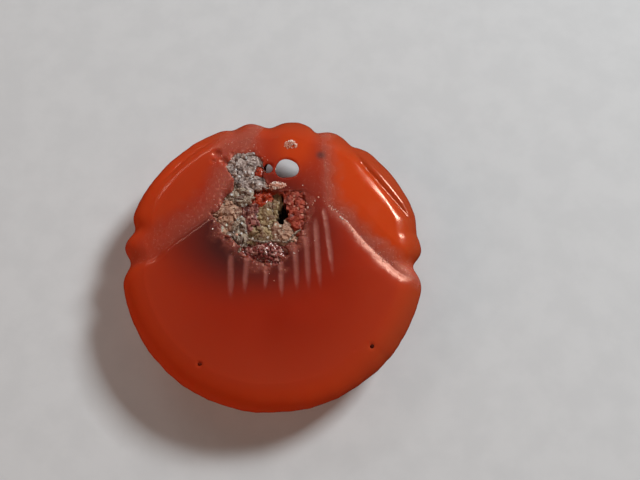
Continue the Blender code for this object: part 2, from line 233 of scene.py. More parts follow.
def smooth_step(value):
    """0 below 0 and 1 above 1, with a smooth rise between."""
    value = np.clip(value, 0, 1)
    return value * value * (3 - 2 * value)


def random_grid(cells, seed):
    """A repeatable random number from -1 to 1 for each cell of whole numbers."""
    code = cells[:, 0] * 73856093 ^ cells[:, 1] * 19349663 ^ cells[:, 2] * 83492791
    code = (code ^ (seed * 40503)) & 0x7FFFFFFF
    code = ((code ^ (code >> 13)) * 60493) & 0x7FFFFFFF
    code = ((code ^ (code >> 15)) * 19990303) & 0x7FFFFFFF
    return (code ^ (code >> 12)) / 0x3FFFFFFF - 1


def noise(points, size, seed, octaves=1):
    """Smooth random values, about -1 to 1, whose lumps are size across. Points are (x, y, z), or
    (x, y) for noise that doesn't change with height."""
    points = np.pad(points, ((0, 0), (0, 3 - points.shape[1])))
    total = np.zeros(len(points))
    share = 1.0
    for octave in range(octaves):
        spot = points / size * 2**octave + 17.3 * seed
        cell = np.floor(spot).astype(np.int64)
        part = spot - cell
        part = part * part * (3 - 2 * part)
        for corner in itertools.product((0, 1), repeat=3):
            weight = np.prod(np.where(corner, part, 1 - part), axis=1)
            total += share * weight * random_grid(cell + np.array(corner), seed + octave)
        share *= 0.5
    return total


def curve_through(points, samples=PATH_SAMPLES):
    """Points along a Catmull-Rom curve through the given ones."""
    points = [np.array(point, float) for point in points]
    ends = [2 * points[0] - points[1], *points, 2 * points[-1] - points[-2]]
    curve = []
    for before, start, end, after in zip(ends, ends[1:], ends[2:], ends[3:]):
        for step in range(samples):
            t = step / samples
            curve.append(
                0.5 * (2 * start + (end - before) * t
                       + (2 * before - 5 * start + 4 * end - after) * t**2
                       + (3 * start - before - 3 * end + after) * t**3)
            )
    return np.array([*curve, points[-1]])


def place_along(points, curve):
    """Each point's distance to the curve, positive to the right of its direction of travel, and how
    far along the curve, from 0 to 1, the nearest place is."""
    best = np.full(len(points), np.inf)
    signed, travelled = np.zeros((2, len(points)))
    for number, (start, end) in enumerate(zip(curve, curve[1:])):
        along = end - start
        gap = points - start
        share = np.clip(gap @ along / (along @ along), 0, 1)
        away = gap - share[:, None] * along
        distance = np.linalg.norm(away, axis=1)
        side = np.where(along[1] * away[:, 0] - along[0] * away[:, 1] >= 0, 1, -1)
        nearer = distance < best
        best = np.where(nearer, distance, best)
        signed = np.where(nearer, side * distance, signed)
        travelled = np.where(nearer, (number + share) / (len(curve) - 1), travelled)
    return signed, travelled


def blob(points, middle, halves, softness):
    """1 inside an ellipse, fading to 0 at its edge over the outer share softness."""
    away = np.hypot((points[:, 0] - middle[0]) / halves[0], (points[:, 1] - middle[1]) / halves[1])
    return smooth_step((1 - away) / softness)


# ---- the stone's shape


def dome_height(radius):
    """Height of the plain face: a flat dome inside the ridge and a rounded shoulder outside it."""
    span = GIRDLE_RADIUS - SHOULDER_START
    ridge = math.sqrt(1 - ((RIDGE_RADIUS - SHOULDER_START) / span) ** 2)
    here = np.sqrt(np.clip(1 - ((radius - SHOULDER_START) / span) ** 2, 0, 1))
    shoulder = GIRDLE_HEIGHT + (RIDGE_HEIGHT - GIRDLE_HEIGHT) * here / ridge
    dome = THICKNESS - (THICKNESS - RIDGE_HEIGHT) * (radius / RIDGE_RADIUS) ** 2
    return np.where(radius <= RIDGE_RADIUS, dome, shoulder)


def back_height(radius):
    """Height of the back, which is flat in the middle and curves up to the girdle."""
    out = np.clip((radius - BACK_FLAT_RADIUS) / (GIRDLE_RADIUS - BACK_FLAT_RADIUS), 0, 1)
    return GIRDLE_HEIGHT * (1 - (1 - out**BACK_ROUNDNESS) ** (1 / BACK_ROUNDNESS))


def notch_depth(angle):
    """How far the notches cut into the rim at each angle, in radians."""
    total = np.zeros(len(angle))
    for notch_angle, depth, half_width in RIM_NOTCHES:
        away = (np.degrees(angle) - notch_angle + 180) % 360 - 180
        total += depth * np.exp(-((away / half_width) ** 2))
    return total


def side_drop(distance, width, roundness):
    """Share of a carved line's depth at this distance to one side of it."""
    near = 1 - np.clip(distance / width, 0, 1)
    return 1 - (1 - near**roundness) ** (1 / roundness)


def taper(travelled, start, end, least):
    """Share of the full depth along a carved line, which fades towards its two ends."""
    fade = smooth_step(travelled / start) * smooth_step((1 - travelled) / end)
    return least + (1 - least) * fade


def valley_places(points):
    """For each carved line, each point's signed distance from it and place along it. The two valleys
    waver a little, as if cut by hand."""
    waver = 0.035 * noise(points, 0.9, 3, 2) + 0.015 * noise(points, 0.2, 4)
    places = {}
    for name, valley in VALLEYS.items():
        offset, travelled = place_along(points, curve_through(valley["path"]))
        places[name] = (offset + waver * name.endswith("valley"), travelled)
    return places


def valley_offsets(points):
    """For each carved line, each point's signed distance from it."""
    return {name: place[0] for name, place in valley_places(points).items()}


def carving(points):
    """How far the carved lines lower the face."""
    drop = np.zeros(len(points))
    for name, (offset, travelled) in valley_places(points).items():
        valley = VALLEYS[name]
        right = side_drop(offset, *valley["right_side"])
        left = side_drop(-offset, *valley["left_side"])
        depth = valley["depth"] * taper(travelled, *valley["taper"])
        drop = np.maximum(drop, depth * np.where(offset > 0, right, left))
    return drop


def score_strength(points):
    """1 along the middle of a score mark, fading to its sides and its tapered ends."""
    strength = np.zeros(len(points))
    for number, (top, bottom, width) in enumerate(SCORE_MARKS):
        start, along = np.array(top), np.subtract(bottom, top)
        share = (points - start) @ along / (along @ along)
        bow = 0.05 * math.sin(2.4 * number) * np.sin(np.pi * np.clip(share, 0, 1))
        across = ((points - start) @ np.array([-along[1], along[0]])) / np.linalg.norm(along) + bow
        ends = smooth_step((share + 0.04) / 0.14) * smooth_step((1.04 - share) / 0.4)
        half = 0.72 * width * (0.55 + 0.45 * ends)
        patchy = 0.85 + 0.25 * noise(points, 0.3, 30 + number, 2)
        near = np.clip(1 - (across / half) ** 2, 0, 1) ** 1.5
        strength = np.maximum(strength, near * ends * patchy)
    return strength


def pocket_share(points):
    """How far out each point is from the pocket's middle, where 1 is the ragged edge of the pocket."""
    outline = curve_through(POCKET_OUTLINE + POCKET_OUTLINE[:1], 6)[:-1] - np.array(POCKET_MIDDLE)
    angles = np.arctan2(outline[:, 1], outline[:, 0])
    order = np.argsort(angles)
    reach = np.linalg.norm(outline, axis=1)[order]
    away = points - np.array(POCKET_MIDDLE)
    edge = np.interp(np.arctan2(away[:, 1], away[:, 0]), angles[order], reach, period=2 * np.pi)
    ragged = 1 + 0.09 * noise(points, 0.7, 11, 3)
    return np.linalg.norm(away, axis=1) / (edge * ragged)


def pocket_drop(points):
    """How far the natural pocket goes below the face."""
    share = pocket_share(points)
    return POCKET_FLOOR * np.sqrt(np.clip(1 - share**6, 0, 1))


def dents(points, places):
    """How far small uneven dents lower the face."""
    drop = np.zeros(len(points))
    for number, (middle, size, depth) in enumerate(places):
        rough = 1 + 0.3 * noise(points, size, 50 + number, 2)
        drop += depth * blob(points, middle, (size, size), 0.8) * rough
    return drop


def skin_height(points, radius):
    """Height at each (x, y) of the carved and ground face, as if it had no pocket."""
    wave = POLISH_WAVE * noise(points, 3.5, 21, 2)
    grain = FROST_GRAIN * frost_mask(points) * noise(points, 0.22, 22, 2)
    drop = carving(points) + SCORE_DEPTH * score_strength(points) + dents(points, CHIPS + PITS)
    broken = smooth_step((BROKEN_EDGE - pocket_share(points)) / (BROKEN_EDGE - 1))
    drop += broken * (0.08 - facet_height(points, 0.45, 36, 0.35, 0.07))
    depth, reach, width = MOUTH_WEAR
    for hole in SEWING_HOLES.values():
        away = np.linalg.norm(points - np.array(hole["mouth"]), axis=1) - hole["mouth_radius"]
        drop += depth * smooth_step((reach - away) / width)
    return dome_height(radius) - drop + wave + grain


# ---- masks for the stone's colours


def frost_mask(points):
    """Where the stone is ground and not polished: the valleys' slopes and beside the pocket. The band
    along the right valley's crest is also a painted sheen.
    """
    offsets = valley_offsets(points)
    right, left = -offsets["right_valley"], offsets["left_valley"]
    ragged = 0.35 * noise(points, 0.7, 45, 3)
    high = smooth_step((points[:, 1] + 1.0) / 6.0)
    fade = 1.5 + 0.8 * high
    right_band = smooth_step((right + 0.1) / 0.2) * smooth_step((1.7 - right + 1.4 * ragged) / fade)
    left_band = smooth_step((left + 0.3) / 0.6) * smooth_step((2.8 - left + 1.4 * ragged) / 2.6)
    left_band *= 0.30 + 0.70 * high
    ragged_points = points + 0.5 * np.column_stack([ragged, -ragged])
    above = 0.8 * blob(ragged_points, (-3.2, 9.4), (2.9, 3.6), 0.8)
    beside = 0.2 * blob(ragged_points, (3.4, 5.6), (1.7, 3.6), 0.9)
    near_pocket = 0.55 * smooth_step((1.30 + 0.4 * ragged - pocket_share(points)) / 0.25)
    # A frosted band on the body side of the right valley, whose paler colour is also a painted sheen.
    crest_frost_and_sheen = 0.45 * smooth_step((0.9 + right) / 0.8) * (right < 0) * smooth_step((points[:, 0] - 2) / 3)
    bands = [right_band, left_band, above, beside, near_pocket, crest_frost_and_sheen]
    return np.clip(np.max(bands, axis=0), 0, 1)


def purple_mask(points):
    """The darker, purplish stone below and beside the pocket."""
    offsets = valley_offsets(points)
    body = smooth_step((offsets["right_valley"] + 0.2) / 0.4)
    body *= smooth_step((1.2 - offsets["left_valley"]) / 1.6)
    drift = [noise(points, 2.5, 41), noise(points, 2.5, 42)]
    wavy = points + 0.5 * np.column_stack(drift)
    zone = blob(wavy, (-1.5, 1.9), (9.6, 7.4), 0.7)
    return zone * body * (1 - 0.2 * smooth_step((points[:, 0] - 0.5) / 4))


def warm_glow_mask(points):
    """A painted glow of light coming through from the right: brighter orange on the right wing, the top
    tab and a little of the left wing.
    """
    offsets = valley_offsets(points)
    right_wing = smooth_step((-offsets["right_valley"] + 0.1) / 1.6)
    tab = 0.8 * blob(points, (1.8, 9.4), (2.4, 3.2), 0.8)
    left_wing = 0.35 * smooth_step((offsets["left_valley"] - 1.6) / 1.5)
    return np.clip(np.max([right_wing, tab, left_wing], axis=0), 0, 1)


def rim_glow_mask(points):
    """The thin edge, painted brighter orange as a glow of light coming through it."""
    return smooth_step((np.hypot(*points.T) - 10.0) / 2.4)


def lit_rim_shade_mask(points):
    """Painted shade: the rim is darker and browner at the upper right, where the key light falls on it.
    """
    return rim_glow_mask(points) * smooth_step((points @ np.array((0.85, 0.53)) + 6) / 12)


def outer_glow_mask(points):
    """A painted glow of light coming through the stone, brighter towards the outside."""
    return smooth_step((np.hypot(*points.T) - 4.5) / 7.0)


# ---- mesh tools


def link(data, name):
    obj = bpy.data.objects.new(name, data)
    bpy.context.scene.collection.objects.link(obj)
    return obj


def object_from(name, points, faces):
    mesh = bpy.data.meshes.new(name)
    mesh.from_pydata([tuple(point) for point in points], [], faces)
    mesh.validate()
    mesh.update()
    return link(mesh, name)


def vectors_of(items, name):
    values = np.empty(len(items) * 3)
    items.foreach_get(name, values)
    return values.reshape(-1, 3)


def set_points(mesh, points):
    mesh.vertices.foreach_set("co", np.asarray(points, np.float32).ravel())
    mesh.update()


def set_attribute(mesh, name, values):
    attribute = mesh.attributes.new(name, "FLOAT", "POINT")
    attribute.data.foreach_set("value", np.asarray(values, np.float32))


def evaluated(obj):
    """Replaces obj by a new object of the same name whose mesh has the modifiers applied."""
    bpy.context.view_layer.update()
    graph = bpy.context.evaluated_depsgraph_get()
    mesh = bpy.data.meshes.new_from_object(obj.evaluated_get(graph))
    name = obj.name
    bpy.data.objects.remove(obj)
    return link(mesh, name)


def add_piece(obj, material, slot, *nodes):
    """Scales a finished piece from millimetres to metres and hands it to the frame."""
    set_points(obj.data, vectors_of(obj.data.vertices, "co") * MM)
    obj.data.materials.clear()
    obj.data.materials.append(material)
    obj.data.shade_smooth()
    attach(obj, "root")
    if nodes:
        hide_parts(*nodes)


# ---- the stone


def stone_rings():
    """(radius, on the face) of each ring, from near the middle of the back round to the face."""
    rings = [(BACK_FLAT_RADIUS * (step + 1) / (FLAT_RINGS + 1), False) for step in range(FLAT_RINGS)]
    for step in range(BACK_RINGS):
        turn = math.sin(0.5 * math.pi * step / BACK_RINGS)
        rings.append((BACK_FLAT_RADIUS + (GIRDLE_RADIUS - BACK_FLAT_RADIUS) * turn, False))
    for step in range(SHOULDER_RINGS):
        turn = math.cos(0.5 * math.pi * step / SHOULDER_RINGS)
        rings.append((RIDGE_RADIUS + (GIRDLE_RADIUS - RIDGE_RADIUS) * turn, True))
    rings += [(RIDGE_RADIUS * step / FACE_RINGS, True) for step in range(FACE_RINGS, 0, -1)]
    return rings


def around(angles):
    """Points on the rim's circle, for noise that meets itself after one turn."""
    return GIRDLE_RADIUS * np.column_stack([np.cos(angles), np.sin(angles)])


def stone_blank():
    """The stone before its sewing holes: rings of points, closed by a fan at the back and face."""
    rings = stone_rings()
    angles = np.tile(2 * np.pi * np.arange(SEGMENTS) / SEGMENTS, len(rings))
    radius = np.repeat([ring[0] for ring in rings], SEGMENTS)
    on_face = np.repeat([ring[1] for ring in rings], SEGMENTS)
    height = np.where(on_face, dome_height(radius), back_height(radius))
    reach = smooth_step(height / GIRDLE_HEIGHT) * (radius / GIRDLE_RADIUS) ** 4
    here = radius - reach * (notch_depth(angles) + RIM_WAVER * noise(around(angles), 1.1, 14, 3))
    flat_points = np.column_stack([here * np.cos(angles), here * np.sin(angles)])
    top = np.where(on_face)[0]
    fade = smooth_step((height[top] - GIRDLE_HEIGHT) / CARVING_FADE)
    finished = skin_height(flat_points[top], radius[top]) - pocket_drop(flat_points[top])
    height[top] = height[top] + (finished - height[top]) * fade
    middles = [(0, 0, 0), (0, 0, height[-SEGMENTS:].mean())]
    points = np.vstack([np.column_stack([flat_points, height]), middles])
    back, face = len(points) - 2, len(points) - 1
    last = (len(rings) - 1) * SEGMENTS
    faces = []
    for step in range(SEGMENTS):
        following = (step + 1) % SEGMENTS
        faces.append((back, following, step))
        faces.append((face, last + step, last + following))
        for ring in range(0, last, SEGMENTS):
            outer = ring + SEGMENTS
            faces.append((ring + step, ring + following, outer + following, outer + step))
    return object_from("carved_stone", points, faces)


def hole_cutter(name, mouth, mouth_radius, back_radius, stretch):
    """A slightly uneven cone along the drill's line."""
    lean = Vector((0, -math.sin(HOLE_LEAN), math.cos(HOLE_LEAN)))
    turn = np.array(Vector((0, 0, 1)).rotation_difference(lean).to_matrix())
    middle = np.array((*mouth, MOUTH_HEIGHT))
    angles = 2 * math.pi * np.arange(DRILL_SIDES) / DRILL_SIDES
    uneven = 1 + stretch * np.cos(2 * angles) + 0.05 * np.cos(3 * angles + 0.9)
    points = []
    for share in np.linspace(0, 1, DRILL_LEVELS + 1):
        radius = (back_radius + (mouth_radius - back_radius) * share) * uneven
        along = np.full(DRILL_SIDES, np.interp(share, (0, 1), DRILL_REACH))
        ring = np.column_stack([radius * np.cos(angles), radius * np.sin(angles), along])
        points.append(middle + ring @ turn.T)
    points = np.vstack(points)
    faces = [tuple(range(DRILL_SIDES))[::-1], tuple(range(len(points) - DRILL_SIDES, len(points)))]
    for level, side in itertools.product(range(DRILL_LEVELS), range(DRILL_SIDES)):
        here = level * DRILL_SIDES + side
        following = level * DRILL_SIDES + (side + 1) % DRILL_SIDES
        faces.append((here, following, following + DRILL_SIDES, here + DRILL_SIDES))
    return object_from(name, points, faces)


def stone(material):
    """The carved stone with its sewing holes, and the masks that its material reads."""
    obj = stone_blank()
    cutters = [hole_cutter("drill_" + name, **hole) for name, hole in SEWING_HOLES.items()]
    for cutter in cutters:
        modifier = obj.modifiers.new(cutter.name, "BOOLEAN")
        modifier.operation, modifier.object, modifier.solver = "DIFFERENCE", cutter, "MANIFOLD"
    obj = evaluated(obj)
    for cutter in cutters:
        bpy.data.objects.remove(cutter)
    points = vectors_of(obj.data.vertices, "co")
    xy = points[:, :2]
    on_face = smooth_step(points[:, 2] - GIRDLE_HEIGHT)
    masks = {
        "frost": frost_mask(xy) * on_face,
        "purple": purple_mask(xy) * on_face,
        "warm": warm_glow_mask(xy) * on_face,
        "score": score_strength(xy) * on_face,
        "pocket": smooth_step((1.06 - pocket_share(xy)) / 0.1) * on_face,
        "rim": rim_glow_mask(xy),
        "dull": lit_rim_shade_mask(xy),
        "clear": outer_glow_mask(xy),
        "stain": blob(xy, *STAIN, 0.9) * on_face,
    }
    for name, values in masks.items():
        set_attribute(obj.data, name, values)
    add_piece(obj, material, "carnelian", "carnelian_body")


# ---- minerals


def chunk(middle, halves, seed, divisions):
    """Points and faces of one angular chunk: a ball cut by nine random planes."""
    draw = np.random.default_rng(seed)
    builder = bmesh.new()
    bmesh.ops.create_icosphere(builder, subdivisions=divisions, radius=1)
    directions = np.array([vert.co for vert in builder.verts])
    faces = [tuple(vert.index for vert in face.verts) for face in builder.faces]
    builder.free()
    normals = draw.normal(size=(9, 3))
    normals /= np.linalg.norm(normals, axis=1, keepdims=True)
    depths = draw.uniform(0.8, 1.0, len(normals))
    facing = np.maximum(directions @ normals.T, 1e-3)
    radius = np.minimum(1.0, (depths / facing).min(1))
    return np.array(middle) + directions * radius[:, None] * np.array(halves), faces


def joined(parts):
    """The points and faces of several meshes as one."""
    points, faces, count = [], [], 0
    for part_points, part_faces in parts:
        points.append(part_points)
        faces += [tuple(index + count for index in face) for face in part_faces]
        count += len(part_points)
    return np.vstack(points), faces


def crust(name, parts, grain_size, seed):
    """One skin over several chunks, with a rough, grainy surface."""
    obj = object_from(name, *joined(parts))
    modifier = obj.modifiers.new("skin", "REMESH")
    modifier.mode, modifier.voxel_size = "VOXEL", CRUST_CELL
    obj = evaluated(obj)
    points = vectors_of(obj.data.vertices, "co")
    bumps = noise(points, grain_size, seed, 3)
    pits = np.minimum(0, noise(points, grain_size * 0.6, seed + 5, 2) + 0.25)
    outwards = vectors_of(obj.data.vertex_normals, "vector")
    set_points(obj.data, points + outwards * ((bumps + pits) * CRUST_GRAIN)[:, None])
    # Painted shade: marks the skin's hollows, which the material darkens.
    set_attribute(obj.data, "hollow_shade", smooth_step(0.5 - 0.5 * bumps - pits))
    return obj


def node_shape(node):
    """Middle and half sizes of a CAD node's box, in millimetres."""
    low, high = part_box(node)
    return np.array(low + high) / 2 / MM, np.array(high - low) / 2 / MM


def facets(points, spacing, seed):
    """Broken stone seen from above: each point's nearest random site, the site's cell, and the gap
    between the two nearest sites, which is 0 on the crack between two facets."""
    scaled = points / spacing
    cell = np.floor(scaled).astype(np.int64)
    nearest, second = np.full((2, len(points)), 9.0)
    site, site_cell = np.zeros((len(points), 2)), np.zeros((len(points), 3), np.int64)
    for step in itertools.product((-1, 0, 1), repeat=2):
        other = np.column_stack([cell + np.array(step), np.zeros(len(points), np.int64)])
        jitter = [random_grid(other, seed), random_grid(other, seed + 1)]
        spot = other[:, :2] + 0.5 + 0.42 * np.column_stack(jitter)
        away = np.linalg.norm(scaled - spot, axis=1)
        closer = away < nearest
        second = np.where(closer, nearest, np.minimum(second, away))
        nearest = np.where(closer, away, nearest)
        site[closer], site_cell[closer] = spot[closer], other[closer]
    return site * spacing, site_cell, (second - nearest) * spacing


def facet_height(points, spacing, seed, slope, step):
    """Relief of broken facets, each at its own height and tilt, with a crack round each."""
    site, cell, gap = facets(points, spacing, seed)
    tilt = np.column_stack([random_grid(cell, seed + 2), random_grid(cell, seed + 3)])
    height = slope * ((points - site) * tilt).sum(1) + step * random_grid(cell, seed + 4)
    return height - 0.07 * spacing * np.exp(-((gap / (0.10 * spacing)) ** 2))


def mineral_at(points):
    """The number, in FILLING, of the mineral at each point, and how far out in its ellipse it is."""
    site = facets(points, 0.42, 5)[0]
    spots = 0.7 * site + 0.3 * points
    scores = np.array([
        np.linalg.norm((spots - np.array(fill.middle)) / np.array(fill.halves), axis=1)
        for fill in FILLING
    ])
    return scores.argmin(0), scores.min(0)


def filling_height(points, owner, score):
    """The top of the pocket's filling: broken facets in each mineral, round a shared level."""
    fills = np.array([(fill.rise, fill.facets, fill.grain) for fill in FILLING])
    rise, strength, grain = fills[owner].T
    share = pocket_share(points)
    level = skin_height(points, np.linalg.norm(points, axis=1))
    top = level + rise - 0.12 * np.minimum(score, 1.5) ** 2 * strength
    top += strength * facet_height(points, 0.80, 6, 0.32, 0.12)
    top += strength * facet_height(points, 0.30, 16, 0.30, 0.04)
    pores = np.abs(noise(points, 0.13, 27, 2))
    top += 0.75 * grain * (noise(points, 0.22, 26, 3) - 0.6 * pores)
    edge = smooth_step((share - 0.99) / 0.10)
    return top * (1 - edge) + (level - 0.05) * edge


def filling_grid():
    """The filling's grid of points, each cell's mineral, and which cells are used."""
    outline = np.array(POCKET_OUTLINE)
    low, high = outline.min(0) - 0.6, outline.max(0) + 0.6
    xs, ys = (np.arange(low[axis], high[axis], GRID_STEP) for axis in (0, 1))
    points = np.stack(np.meshgrid(xs, ys), axis=-1).reshape(-1, 2)
    owner, score = mineral_at(points)
    heights = filling_height(points, owner, score)
    grid = np.column_stack([points, heights]).reshape(len(ys), len(xs), 3)
    middles = (grid[:-1, :-1] + grid[1:, 1:])[..., :2].reshape(-1, 2) / 2
    shape = (len(ys) - 1, len(xs) - 1)
    return grid, mineral_at(middles)[0].reshape(shape), (pocket_share(middles) < 1.07).reshape(shape)


def soften_cracks(grid, owners):
    """Lowers the grid along the border between two minerals."""
    border = np.zeros(grid.shape[:2])
    border[1:-1, 1:-1] = (
        (owners[1:, 1:] != owners[:-1, 1:]) | (owners[1:, 1:] != owners[1:, :-1])
        | (owners[:-1, :-1] != owners[1:, 1:])
    )
    spread = border.copy()
    for _ in range(3):
        padded = np.pad(spread, 1)
        spread = (padded[:-2, 1:-1] + padded[2:, 1:-1] + padded[1:-1, :-2] + padded[1:-1, 2:]) / 4
    grid[..., 2] -= CRACK_DEPTH * np.clip(spread * 1.6, 0, 1)


def box_mean(grid, reach=5):
    """The mean height round each grid point."""
    heights = np.pad(grid[..., 2], reach, mode="edge")
    size = 2 * reach + 1
    windows = np.lib.stride_tricks.sliding_window_view(heights, (size, size))
    return windows.mean(axis=(2, 3)).ravel()


def patch(name, grid, cells):
    """A closed piece: the grid's surface over the chosen cells, with straight sides and a flat
    bottom. An edge that only one cell has is on the piece's outline, and gets a side."""
    rows, columns = np.where(cells)
    width = grid.shape[1]
    first = rows * width + columns
    quads = np.column_stack([first, first + 1, first + width + 1, first + width])
    used, index = np.unique(quads, return_inverse=True)
    quads = index.reshape(-1, 4).tolist()
    top = grid.reshape(-1, 3)[used]
    low = top.copy()
    low[:, 2] = FILLING_BOTTOM
    faces = [tuple(quad) for quad in quads]
    faces += [tuple(corner + len(top) for corner in quad[::-1]) for quad in quads]
    edges = {}
    for quad in quads:
        for start, end in zip(quad, quad[1:] + quad[:1]):
            if not edges.pop((end, start), None):
                edges[(start, end)] = True
    faces += [(end, start, start + len(top), end + len(top)) for start, end in edges]
    obj = object_from(name, np.vstack([top, low]), faces)
    relief = np.concatenate([top[:, 2] - box_mean(grid)[used], np.full(len(top), -1.0)])
    # Painted shade: marks where the filling lies below its surroundings, which the material darkens.
    set_attribute(obj.data, "hollow_shade", smooth_step(-relief / 0.20))
    return obj


def crystal(middle, axis, radius, length, twist):
    """A six-sided quartz crystal with a pointed end."""
    turn = np.array(Vector((0, 0, 1)).rotation_difference(Vector(axis)).to_matrix())
    angles = twist + np.arange(6) * math.pi / 3
    base = np.column_stack([radius * np.cos(angles), radius * np.sin(angles), np.zeros(6)])
    waist = base + np.array((0, 0, length - radius * 1.1))
    local = np.vstack([base, waist, [(0, 0, length)]])
    faces = [tuple(range(5, -1, -1))]
    faces += [(side, (side + 1) % 6, (side + 1) % 6 + 6, side + 6) for side in range(6)]
    faces += [(side + 6, (side + 1) % 6 + 6, 12) for side in range(6)]
    return np.array(middle) + local @ turn.T, faces


def druse(name, node, count, size, seed, lift):
    """A bed of small crystals over a CAD node's space."""
    middle, halves = node_shape(node)
    draw = np.random.default_rng(seed)
    parts = []
    for _ in range(count):
        angle, out = draw.uniform(0, 2 * math.pi), math.sqrt(draw.uniform(0, 1))
        spot = middle[:2] + halves[:2] * out * np.array((math.cos(angle), math.sin(angle)))
        top = middle[2] + halves[2] * math.sqrt(max(0.05, 1 - out**2)) + lift
        axis = Vector((draw.normal(0, 0.5), draw.normal(0, 0.5), 1.0)).normalized()
        radius = draw.uniform(*size)
        length = radius * draw.uniform(2.6, 4.0)
        base = np.array((*spot, top)) - np.array(axis) * length * 0.75
        parts.append(crystal(base, axis, radius, length, draw.uniform(0, 1)))
    return object_from(name, *joined(parts))


# ---- materials


class Finish:
    """A node material for stone, built up by layers of colour over a base."""

    def __init__(self, name, roughness, **settings):
        self.material = bpy.data.materials.new(name)
        self.material.use_nodes = True
        self.nodes = self.material.node_tree.nodes
        self.links = self.material.node_tree.links
        self.shader = self.nodes["Principled BSDF"]
        self.shader.inputs["Roughness"].default_value = roughness
        for socket, value in settings.items():
            self.shader.inputs[socket.replace("_", " ")].default_value = value
        self.place = self.nodes.new("ShaderNodeTexCoord").outputs["Object"]
        self.colour = None
        self.height = None

    def feed(self, value, socket):
        """Sets a socket to a number or a colour, or links another socket to it."""
        if isinstance(value, (int, float)):
            socket.default_value = value
        elif isinstance(value, tuple):
            socket.default_value = (*value, 1)
        else:
            self.links.new(value, socket)

    def node(self, kind, *inputs, **settings):
        """A new node with these inputs and settings."""
        node = self.nodes.new("ShaderNode" + kind)
        for name, value in settings.items():
            setattr(node, name, value)
        for index, value in enumerate(inputs):
            self.feed(value, node.inputs[index])
        return node

    def mask(self, name):
        return self.node("Attribute", attribute_name=name).outputs["Fac"]

    def maths(self, operation, *values):
        return self.node("Math", *values, operation=operation, use_clamp=True).outputs[0]

    def levels(self, value, low, high):
        """0 where value is at or below low, smoothly up to 1 at high."""
        node = self.nodes.new("ShaderNodeMapRange")
        node.interpolation_type = "SMOOTHSTEP"
        for name, number in (("From Min", low), ("From Max", high)):
            node.inputs[name].default_value = number
        self.feed(value, node.inputs["Value"])
        return node.outputs["Result"]

    def noise(self, size, detail=3.0, roughness=0.55, stretch=None, distortion=0.0):
        """Noise whose lumps are about size millimetres across."""
        node = self.nodes.new("ShaderNodeTexNoise")
        place = self.place
        if stretch:
            mapping = self.nodes.new("ShaderNodeMapping")
            mapping.inputs["Scale"].default_value = stretch
            self.links.new(place, mapping.inputs["Vector"])
            place = mapping.outputs["Vector"]
        self.links.new(place, node.inputs["Vector"])
        node.inputs["Scale"].default_value = 1 / (size * MM)
        node.inputs["Detail"].default_value = detail
        node.inputs["Roughness"].default_value = roughness
        node.inputs["Distortion"].default_value = distortion
        return node.outputs["Fac"]

    def grains(self, size):
        """(distance from the middle, random colour) of grains about size millimetres across."""
        node = self.nodes.new("ShaderNodeTexVoronoi")
        self.links.new(self.place, node.inputs["Vector"])
        node.inputs["Scale"].default_value = 1 / (size * MM)
        return node.outputs["Distance"], node.outputs["Color"]

    def specks(self, size, share, radius=0.35):
        """1 on small dots, in about this share of the grains of that size."""
        distance, colour = self.grains(size)
        split = self.node("SeparateColor", colour)
        chosen = self.levels(split.outputs[0], 1 - share, 1 - share + 0.02)
        return self.maths("MULTIPLY", chosen, self.levels(distance, radius + 0.08, radius - 0.08))

    def paint(self, colour, *shares):
        """Lays a colour over the ones before, as strongly as the product of the shares. The first
        colour has no shares."""
        if not shares:
            self.colour = colour
            return
        share = shares[0]
        for other in shares[1:]:
            share = self.maths("MULTIPLY", share, other)
        node = self.nodes.new("ShaderNodeMix")
        node.data_type = "RGBA"
        self.feed(share, node.inputs[0])
        self.feed(self.colour, node.inputs[6])
        self.feed(colour, node.inputs[7])
        self.colour = node.outputs[2]

    def rough(self, *layers):
        """Roughness: a first value, then pairs of (value, where)."""
        total = layers[0]
        for value, where in layers[1:]:
            node = self.nodes.new("ShaderNodeMix")
            self.feed(where, node.inputs[0])
            self.feed(total, node.inputs[2])
            self.feed(value, node.inputs[3])
            total = node.outputs[0]
        self.links.new(total, self.shader.inputs["Roughness"])

    def bump(self, height, depth, strength=1.0):
        """Adds relief of about depth millimetres."""
        node = self.nodes.new("ShaderNodeBump")
        node.inputs["Distance"].default_value = depth * MM
        self.feed(strength, node.inputs["Strength"])
        self.feed(height, node.inputs["Height"])
        if self.height is not None:
            self.links.new(self.height, node.inputs["Normal"])
        self.height = node.outputs["Normal"]

    def done(self):
        self.feed(self.colour, self.shader.inputs["Base Color"])
        if self.height is not None:
            self.links.new(self.height, self.shader.inputs["Normal"])
        return self.material


def glow(radius, scale, weight):
    """Light scattered inside the stone: how far each colour goes, in millimetres."""
    return {"Subsurface_Weight": weight, "Subsurface_Radius": radius, "Subsurface_Scale": scale * MM}


